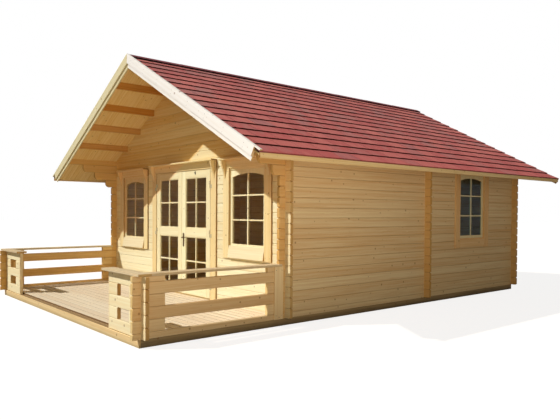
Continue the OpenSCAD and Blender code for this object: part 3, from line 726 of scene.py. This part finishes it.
# %% Roof lining boards
apex_z, eave_x = 3657.2, 3092
front_y, rear_y = -994, 6300
rear_gap, lining_count, lining_front, lining_depth = 20.3, 82, front_y + 50, (0.0005, 0.0255)
lining = Pile()
lining_step = (rear_y - rear_gap - lining_front) / lining_count
lining_half = lining_step / 2000 - 0.0003
rafter = (0.004, eave_x / math.cos(slope) / 1000 - 0.001)
for side in (1, -1):
    down = Vector((side * math.cos(slope), 0, -math.sin(slope)))
    for i in range(lining_count):
        y = side * (lining_front + (i + 0.5) * lining_step) / 1000
        lining.lay(house(0, 0, apex_z), down, -side * Y, rafter, (-y - lining_half, -y + lining_half),
                   lining_depth, 0.004, random.uniform(0.35, 0.65), -math.tan(slope))
lining.piece("roof_lining", lining_wood, "roof_wood", "roof_boards")

# %% [markdown]
# ## The ridge purlin's nose
# The top purlin is the deepest of them, and its front end would hang below the
# barges. A carpenter planes such an end up to nothing more than the barges
# hide. Its section is a post with a pitched top, swept through three places:
# the nose, the gable and the rear end.

# %% Ridge purlin
purlin_half, purlin_foot, nose_foot, purlin_top = 35, 3375, 3525, apex_z - 0.5
nose_front, nose_end = front_y + 40.6, -30
shoulder = apex_z - purlin_half * math.tan(slope) - 0.5
ridge_purlin = Pile()
sections = []
for y, foot in ((nose_front, nose_foot), (nose_end, purlin_foot), (rear_y - rear_gap, purlin_foot)):
    outline = [(-purlin_half, foot), (purlin_half, foot), (purlin_half, shoulder), (0, purlin_top),
               (-purlin_half, shoulder)]
    sections.append([house(x, y, z) for x, z in outline])
ridge_purlin.loft(sections, 0.4, (1.0, 1.0))
ridge_purlin.grain = [(y, z, x) for x, y, z in ridge_purlin.grain]
ridge_purlin.piece("ridge_purlin", roof_wood, "roof_wood", "purlins")

# %% [markdown]
# ## Shingle colour
# Bitumen strips carry a red mineral face with rose and slate grains mixed in.
# Each tab has a tone of its own, clouds drift over the whole roof, and rain
# washes the lower rows most, so the red deepens towards the eaves. The cut
# edge is black felt.

# %% Shingle finish
def shingle_finish(name, stops, edge):
    made, shader = material(name)
    where = here()
    cloud = noise(stretched(where, (3.0, 5.0, 3.0)), 1.0, 4.0)
    mixed = plus(times(mark("tone"), 0.55), ramp(cloud, 0.3, 0.7, 0.0, 0.45, "LINEAR"))
    blend = add("ValToRGB", {0: mixed})[0]
    elements = blend.node.color_ramp.elements
    for index, (place, colour) in enumerate(stops):
        stop = elements[index] if index < 2 else elements.new(place)
        stop.position, stop.color = place, tint(colour)
    grit = noise(where, 320.0, 2.0)
    face = mix(ramp(grit, 0.35, 0.75, 0.0, 0.4), blend, tint("#824442"))
    low = ramp(split(where)[2], 2.1, 2.9, 0.3, 0.0)
    face = mix(low, face, tint("#b84a48"))
    colour = mix(mark("end"), face, tint(edge))
    surface(shader, colour, scaled(grit, 0.2, 0.75), grit, 0.5, 0.001, 0.25)
    return made


shingle_red = shingle_finish("shingle_red", [(0.0, "#d8756c"), (1.0, "#b07074"), (0.3, "#dc857e"),
                                             (0.55, "#cb6c69"), (0.8, "#c68782")], "#300c0a")
ridge_red = shingle_finish("ridge_shingle", [(0.0, "#a35458"), (1.0, "#7d4a50"), (0.5, "#915058")], "#1c1212")
print("shingle finishes:", shingle_red.name, ridge_red.name)

# %% [markdown]
# ## Shingles in lapped rows
# Strips are nailed on from the eave upwards, each row over the one below. From
# the ground the eye looks almost along the roof, so the black cut edges show
# as lines and the red face as bands between them. Each row is cut into tabs: a
# thin wedge with rounded lower corners and a slot to its neighbour. Small
# changes in lift and length keep the rows from looking ruled.

# %% Lay the shingles
shingle_low, shingle_high, row_count = 30.0, 44.0, 15
bed, bed_rise, row_lap, eave_overhang = 26.5, 3.9, 12, 32
tab_width, slot_width, corner, least_tab, stagger = 1000 / 3, 5, 9, 30, 30
tabs_front, tabs_rear = front_y + 21, rear_y - 1
first_row = (0.3 - shingle_low * math.sin(slope)) / math.cos(slope)
last_edge = (eave_x + eave_overhang - shingle_high * math.sin(slope)) / math.cos(slope)
row_length = (last_edge - first_row) / row_count


def on_roof(side, s, n, y):
    x = side * (s * math.cos(slope) + n * math.sin(slope))
    return house(x, y, apex_z - s * math.sin(slope) + n * math.cos(slope))


def tab_outline(y0, y1, top, low):
    near = corner * 0.3
    return [(y0, top - row_lap), (y1, top - row_lap), (y1, low - corner), (y1 - near, low - near),
            (y1 - corner, low), (y0 + corner, low), (y0 + near, low - near), (y0, low - corner)]


tabs = Pile()
for side in (1, -1):
    for row in range(row_count):
        lapped = row < row_count - 1
        top = first_row + row * row_length
        y = front_y - (row % 2) * tab_width / 2 - random.uniform(0, stagger)
        while y < rear_y - least_tab:
            y0, y1 = max(y + slot_width / 2, tabs_front), min(y + tab_width - slot_width / 2, tabs_rear)
            y += tab_width
            if y1 - y0 < least_tab:
                continue
            low = top + row_length + (random.uniform(-3, 1.5) if lapped else 0)
            rise = shingle_high - shingle_low + random.uniform(-1.2, 0.6)
            upper, lower = [], []
            for y_at, s_at in tab_outline(y0, y1, top, low):
                run = (s_at - top) / row_length
                upper.append(on_roof(side, s_at, shingle_low + rise * run, y_at))
                lower.append(on_roof(side, s_at, bed + (bed_rise if lapped else 0) * max(run, 0), y_at))
            tabs.loft([upper, lower], random.random(), (0.0, 1.0), [1.0 if lapped else 0.5] * len(upper))
tabs.piece("shingle_tabs", shingle_red, "shingle_red", "shingles")

# %% [markdown]
# ## The ridge
# Strips of the same felt are folded over the ridge and lapped away from the
# weather. They stand on a thick bed, so their lower edge draws one dark line
# along the whole roof. Each strip is a folded section with a softened crown,
# a little lower at its rear end where the next one covers it.

# %% Cap the ridge
cap_count, wing, cap_low, cap_high, cap_round, cap_drop = 8, 75, 36.2, 59.5, 4, 2
cap_front, crown_flat, crown_drop = front_y + 38, 14, 1.5
cap_step = (rear_y - cap_front) / cap_count
cap_edges = [1.0, 0.6, 0.0, 0.0, 0.0, 0.0, 0.6, 1.0, 1.0, 1.0]
caps = Pile()
for i in range(cap_count):
    loops = []
    for y, drop in ((cap_front + i * cap_step, 0), (cap_front + (i + 1) * cap_step, cap_drop)):
        high = cap_high - drop
        crown = [(wing, cap_low), (wing, high - cap_round), (wing - cap_round, high), (crown_flat, high)]
        right = [on_roof(1, s, n, y) for s, n in crown]
        left = [on_roof(-1, s, n, y) for s, n in reversed(crown)]
        peak = [house(0, y, apex_z + n / math.cos(slope)) for n in (high - crown_drop, cap_low)]
        loops.append(right + [peak[0]] + left + [peak[1]])
    caps.loft(loops, random.random(), (1.0, 1.0), cap_edges)
caps.piece("ridge_strips", ridge_red, "ridge_brown", "ridge_cap")

# %% [markdown]
# ## Glazing bars
# Each window is one sash whose single pane is divided by thin bars: one
# upright and two across. They lie on the glass outside and inside, so the
# pane stays whole. The bars are small boards like any other, set out once for
# a window and then turned into each wall.

# %% Window bars
win_x, win_z, side_win_y, half_w, side_rise = 1664, 810, 4434, 2450, 67.5
bar_half, bar_foot, bar_head, bar_reach, bar_step, hair = 10, 95.5, 1088.5, 344.5, 0.5, 0.1
bar_faces, cross_heights = ((13, 23.6), (30.4, 41)), (436, 783)


def front_place(side):
    return lambda x, y, z: (side * (win_x + x), y, win_z + z)


def side_place(side):
    return lambda x, y, z: (side * (half_w - y), side_win_y + x, win_z + side_rise + z)


bars = Pile()
for put_in in (front_place(1), front_place(-1), side_place(1), side_place(-1)):
    for y0, y1 in bar_faces:
        bars.box(put_in(-bar_half, y0, bar_foot), put_in(bar_half, y1, bar_head))
        for z in cross_heights:
            for x0, x1 in ((-bar_reach, -bar_half - hair), (bar_half + hair, bar_reach)):
                bars.box(put_in(x0, y0 + bar_step, z - bar_half), put_in(x1, y1 - bar_step, z + bar_half))
bars.piece("window_bars", joinery_wood, "joinery_wood")

# %% [markdown]
# ## Door leaves
# A glazed leaf is a frame: two full-height stiles, three rails tenoned
# between them, and beads that hold the glass. The leaf in the CAD model is one
# solid with the two fields cut out. Here it is made from its real members, so
# the grain turns at each joint and a fine line shows where rail meets stile.

# %% Build both leaves
stile_in, stile_out, leaf_edge, meet_edge = 112.25, 692.25, 800.25, 4.25
leaf_foot, leaf_top, leaf_front, leaf_back, rail_back = 51, 2000, -18, 22, 0.4
fields = ((196, 962, 578), (1103, 1890, 1507))
rails = ((leaf_foot, 196), (962, 1103), (1890, leaf_top))
bead, bar_left, bar_right, cross_half, bar_back, cross_back = 12, 391, 413.5, 11, 1, 1.5
bead_faces = ((-12, -1.3), (5.3, 16))


def leaf_piece(side, name, body, node):
    pile = Pile()

    def member(x0, x1, y0, y1, z0, z1, ease=0.004):
        pile.box((side * x0, y0, z0), (side * x1, y1, z1), ease)

    for x0, x1 in ((meet_edge, stile_in), (stile_out, leaf_edge)):
        member(x0, x1, leaf_front, leaf_back, leaf_foot, leaf_top, 0.003)
    for z0, z1 in rails:
        member(stile_in, stile_out, leaf_front + rail_back, leaf_back - rail_back, z0, z1, 0.003)
    bead_in, bead_out = stile_in + bead, stile_out - bead
    for z0, z1, z_bar in fields:
        for y0, y1 in bead_faces:
            for x0, x1 in ((stile_in, bead_in), (bead_out, stile_out)):
                member(x0, x1, y0, y1, z0, z1)
            for z in (z0, z1 - bead):
                member(bead_in, bead_out, y0, y1, z, z + bead)
            member(bar_left, bar_right, y0 + bar_back, y1, z0 + bead, z1 - bead)
            for x0, x1 in ((bead_in, bar_left - hair), (bar_right + hair, bead_out)):
                member(x0, x1, y0 + cross_back, y1, z_bar - cross_half, z_bar + cross_half)
    pile.piece(name, joinery_wood, "joinery_wood", node, body=body)


leaf_piece(1, "right_leaf_members", "right_door", "door_leaf_right")
leaf_piece(-1, "left_leaf_members", "left_door", "door_leaf_left")

# %% [markdown]
# ## Glass
# The panes keep their CAD meshes. Window glass is clear, so its look comes
# from what is behind and before it: a dim timber room and a cool sky. Faint
# waves and a trace of dust stop the sky from lying on it like a mirror. The
# side panes are tinted blue as a painted sky reflection. Light must
# pass into the room as well, so a pane casts no shadow of its own.

# %% Pane glass
pane_glass, shader = material("pane_glass")
where = here()
dust = noise(where, 2.2, 4.0)
feed(shader["Roughness"], ramp(dust, 0.4, 0.8, 0.0, 0.05))
waves = add("Bump", {"Height": noise(where, 3.0, 1.0), "Strength": 0.04, "Distance": 0.01})
feed(shader["Normal"], waves[0])
# The side panes get a blue tint as a painted sky reflection.
aside = calc("ABSOLUTE", split(where)[0])
feed(shader["Base Color"], mix(ramp(aside, 2.3, 2.4), tint("#f2ecde"), tint("#c6e0f6")))
shader["Transmission Weight"].default_value = 1
shader["IOR"].default_value = 1.12
nodes = pane_glass.node_tree.nodes
clear = add("BsdfTransparent", {"Color": tint("#d8d6d2")})[0]
shadow_ray = add("LightPath", {})["Is Shadow Ray"]
passing = add("MixShader", {0: shadow_ray, 1: nodes["Principled BSDF"].outputs[0], 2: clear})
feed(nodes["Material Output"].inputs["Surface"], passing[0])
dress(pane_glass, "window_glass", "door_glass_left", "door_glass_right")
print("pane glass:", len(nodes), "nodes")

# %% [markdown]
# ## Metal
# The hinges are dull zinc and the lever is bronze, worn brighter where hands
# rub. One group makes the worn spots for every metal.

# %% Metal finishes
given, put = new_group("patina", {"Vector": "Place", "Color": "Metal Rub"},
                       {"Color": "Color", "Float": "Roughness"})
spots = noise(given["Place"], 60.0, 4.0)
rubbed = times(ramp(spots, 0.45, 0.7), 0.4)
feed(put["Color"], mix(rubbed, given["Metal"], given["Rub"]))
feed(put["Roughness"], scaled(rubbed, -0.25, 0.55))


def metal_finish(name, metal, rub, lit_tone=1.0):
    made, shader = material(name)
    worn = use("patina", Place=here(), Metal=tint(metal), Rub=tint(rub))
    feed(shader["Base Color"], worn["Color"])
    feed(shader["Roughness"], worn["Roughness"])
    shader["Metallic"].default_value = lit_tone
    return made


hinge_metal = metal_finish("hinge_metal", "#d8cba6", "#ece0bc", 0.4)
handle_bronze = metal_finish("handle_bronze", "#6e5432", "#b08c58")
screw_metal = metal_finish("screw_metal", "#6f6a60", "#a39a8a")
catch_metal = metal_finish("catch_metal", "#3a332b", "#6a5c4c")
dress(hinge_metal, "frame_hinges", "leaf_hinges_left", "leaf_hinges_right")
print("metals:", [m.name for m in (hinge_metal, handle_bronze, screw_metal, catch_metal)])

# %% [markdown]
# ## The lever handle
# A lever on an oval plate stands on both faces of the right leaf. The plate is
# lofted from ovals. The lever is a tube along a bent path.

# %% Lever handle
handle_x, handle_z, plate_half, plate_tall, axle_rise = 58.25, 911, 19, 110, 36.7
plate_steps = ((0, 0), (2.5, 0), (4, 1.5))
lever_path = [(0, 3), (0, 12), (0, 30), (3, 38), (12, 42), (40, 43), (80, 42), (108, 40), (116, 36)]
lever_radii = [14, 11, 8, 8.5, 8.5, 8, 7.5, 7, 5]


def turns(sides, offset=0.0):
    return [2 * math.pi * (k + offset) / sides for k in range(sides)]


def oval(x, y, z, half, tall):
    ring = []
    for a in turns(24, 0.5):
        rise = tall - half if math.sin(a) > 0 else half - tall
        ring.append(house(x + half * math.cos(a), y, z + rise + half * math.sin(a)))
    return ring


def tube(pile, path, radii):
    rings = []
    for i, place in enumerate(path):
        way = (path[min(i + 1, len(path) - 1)] - path[max(i - 1, 0)]).normalized()
        flat = way.cross(Z if abs(way.z) < 0.9 else X).normalized()
        tall = flat.cross(way)
        rings.append([place + (flat * math.cos(t) + tall * math.sin(t)) * radii[i] / 1000 for t in turns(12)])
    pile.loft(rings, 0.5)


handle = Pile()
for face, out in ((leaf_front - 0.3, -1), (leaf_back + 0.3, 1)):
    handle.loft([oval(handle_x, face + out * t, handle_z, plate_half - i, plate_tall - i)
                 for t, i in plate_steps], 0.5)
    tube(handle, [house(handle_x + a, face + out * b, handle_z + axle_rise) for a, b in lever_path], lever_radii)
handle.piece("lever_handle", handle_bronze, "dark_metal", "door_handle", body="right_door")

# %% [markdown]
# ## Screws and nails
# Nothing on a timber house holds without metal, and a row of small heads gives
# the eye a sense of scale. Heads are low domes, set where a fitter would put
# them: two in each deck board over every joist, and pairs of nails near the
# ends and along the casings, posts and barges. Each board's box tells its long
# way, its thin way and its outer face.

# %% Drive the deck screws and the nails
joist_count, joist_first, joist_step, screw_off = 7, -2370, 790, 32
nail_step, nail_margin, nail_edges = 0.45, 0.05, (0.18, 0.82)
barge_nails, barge_first, barge_step, barge_rows = 8, 150, 440, (-42, 12)


def stud(pile, place, out, radius=4.0, rise=1.2):
    side = out.cross(Z if abs(out.z) < 0.5 else X).normalized()
    tall = out.cross(side)
    pile.loft([[place + (side * math.cos(t) * r + tall * math.sin(t) * r + out * h) / 1000 for t in turns(10)]
               for r, h in ((radius, 0.0), (radius * 0.6, rise))], random.random())


def board_boxes(node):
    work = node_copy(node)
    for found in islands(work):
        yield [Vector([pick(v.co[i] for v in found) for i in range(3)]) for pick in (min, max)]
    work.free()


screws = Pile()
for i in range(deck_count):
    y = deck_front + (i + 0.5) * deck_step
    for k in range(joist_count):
        for off in (-screw_off, screw_off):
            stud(screws, house(joist_first + k * joist_step, y + off, board_top - 0.1), Z, 3.5, 0.4)
for node in ("window_casings", "door_casings", "head_boards", "rail_posts"):
    for low, high in board_boxes(node):
        span = high - low
        long, wide, thin = sorted(range(3), key=lambda i: -span[i])
        out = AXES[thin] * (-1 if thin == 1 or low.x < 0 else 1)
        count = max(2, round(span[long] / nail_step))
        for k in range(count):
            for edge in nail_edges:
                place = (low + high) / 2
                place[thin] = high[thin] if out[thin] > 0 else low[thin]
                place[wide] = low[wide] + span[wide] * edge
                place[long] = low[long] + nail_margin + (span[long] - 2 * nail_margin) * k / (count - 1)
                stud(screws, place, out)
for side in (1, -1):
    for k in range(barge_nails):
        for n in barge_rows:
            stud(screws, on_roof(side, barge_first + k * barge_step, n, front_y), -Y)
print("heads so far:", len(screws.points) // 20)

# %% [markdown]
# ## Hinge screws and the leaf catch
# Two screws hold each hinge plate. Those in a leaf turn with it, so they are a
# piece of their own on its body. A catch sits at the head of the right leaf.

# %% Hinge screws and catch
pin_x, hinge_heights, screw_rises = 803.25, (241, 1025.5, 1770), (14, 42)
leaf_screw_x, frame_screw_x, leaf_screw_y, frame_screw_y = pin_x - 22, pin_x + 30, -21, -25
catch_x, catch_z, catch_half, catch_tall, catch_front = 393, 1965, 11, 23, -22
for side, body, name in ((1, "right_door", "right_hinge_screws"), (-1, "left_door", "left_hinge_screws")):
    moving = Pile()
    for z in hinge_heights:
        for rise in screw_rises:
            stud(moving, house(side * leaf_screw_x, leaf_screw_y, z + rise), -Y, 4.5)
            stud(screws, house(side * frame_screw_x, frame_screw_y, z - rise), -Y, 4.5)
    moving.piece(name, screw_metal, "dark_metal", body=body)
screws.piece("cabin_screws", screw_metal, "dark_metal")
catch = Pile()
catch.box((catch_x - catch_half, catch_front, catch_z - catch_tall),
          (catch_x + catch_half, leaf_front - 0.3, catch_z + catch_tall), 0.0015, 0.5)
tube(catch, [house(catch_x, y, catch_z) for y in (-20, -26, -31, -33)], [5, 5, 8, 6])
catch.piece("leaf_catch", catch_metal, "dark_metal", body="right_door")

# %% [markdown]
# ## A white studio
# The cabin stands on a plain floor inside a dim, warm dome. Both read as white
# to the camera, straight on or through a pane, but that white lights nothing.
# Mirror-like rays see a cool, dim sky, which keeps the panes deep. The floor
# still takes the shadow that seats the house.

# %% Ground and surround
ground_half, floor_glow = 80, 0.85
white, warm_sky, cool_sky = (1, 1, 1, 1), (1, 0.85, 0.64, 1), (0.8, 0.95, 1.1, 1)
ground = bpy.data.meshes.new("ground")
ground.from_pydata([(x * ground_half, y * ground_half, 0) for x, y in ((-1, -1), (1, -1), (1, 1), (-1, 1))],
                   [], [(0, 1, 2, 3)])
stage = bpy.data.objects.new("ground", ground)
scene.collection.objects.link(stage)


def straight_view():
    rays = add("LightPath", {})
    no_bounce = calc("LESS_THAN", rays["Diffuse Depth"], 0.5)
    through_glass = times(rays["Is Transmission Ray"], no_bounce)
    return calc("MAXIMUM", rays["Is Camera Ray"], through_glass)


studio_floor, shader = material("studio_floor")
shader["Base Color"].default_value = (0.22, 0.19, 0.15, 1)
shader["Roughness"].default_value = 0.9
shader["Emission Color"].default_value = white
feed(shader["Emission Strength"], times(straight_view(), floor_glow))
ground.materials.append(studio_floor)
world = bpy.data.worlds.new("studio")
scene.world = world
world.use_nodes = True
open_sheet(world.node_tree)
back = world.node_tree.nodes["Background"].inputs
seen = straight_view()
dome = ramp(split(add("TexCoord", {})["Generated"])[2], 0.0, 0.9, 0.28, 0.14)
feed(back["Strength"], calc("MAXIMUM", seen, dome))
sky = mix(add("LightPath", {})["Is Glossy Ray"], warm_sky, cool_sky)
feed(back["Color"], mix(seen, sky, white))
print("floor and surround:", studio_floor.name, world.name)

# %% [markdown]
# ## Lamps
# A sun from the front left throws the gable's shadow down the front wall and
# leaves the long right side in soft shade, as in the picture. A warm lamp from
# the right fills that side, one near the ground lights the eaves from below,
# and a small one stands in the front room. The last two aren't seen themselves.

# %% Lamps
def lamp(name, kind, energy, colour, **settings):
    light = bpy.data.lights.new(name, kind)
    light.energy, light.color = energy, colour
    for key, value in settings.items():
        setattr(light, key, value)
    holder = bpy.data.objects.new(name, light)
    scene.collection.objects.link(holder)
    return holder


def aim(holder, way):
    holder.rotation_euler = way.to_track_quat("-Z", "Y").to_euler()


sun = lamp("key", "SUN", 3.5, (1, 1, 1), angle=math.radians(0.7))
aim(sun, sun_way)
fill = lamp("fill", "AREA", 160, (1, 0.87, 0.7), size=5)
fill.location = house(8800, -3400, 900)
aim(fill, house(2450, 500, 1200) - fill.location)
low = lamp("low", "AREA", 126, (1, 0.86, 0.68), size=6)
low.location = house(7000, -1200, 20)
low.rotation_euler = (math.pi, 0, 0)
room = lamp("room", "POINT", 5, (1, 0.95, 0.88), shadow_soft_size=0.4)
room.location = house(1100, 2100, 2000)
for hidden in (low, room):
    hidden.visible_camera = hidden.visible_glossy = hidden.visible_transmission = False
print("lamps:", [o.name for o in (sun, fill, low, room)])
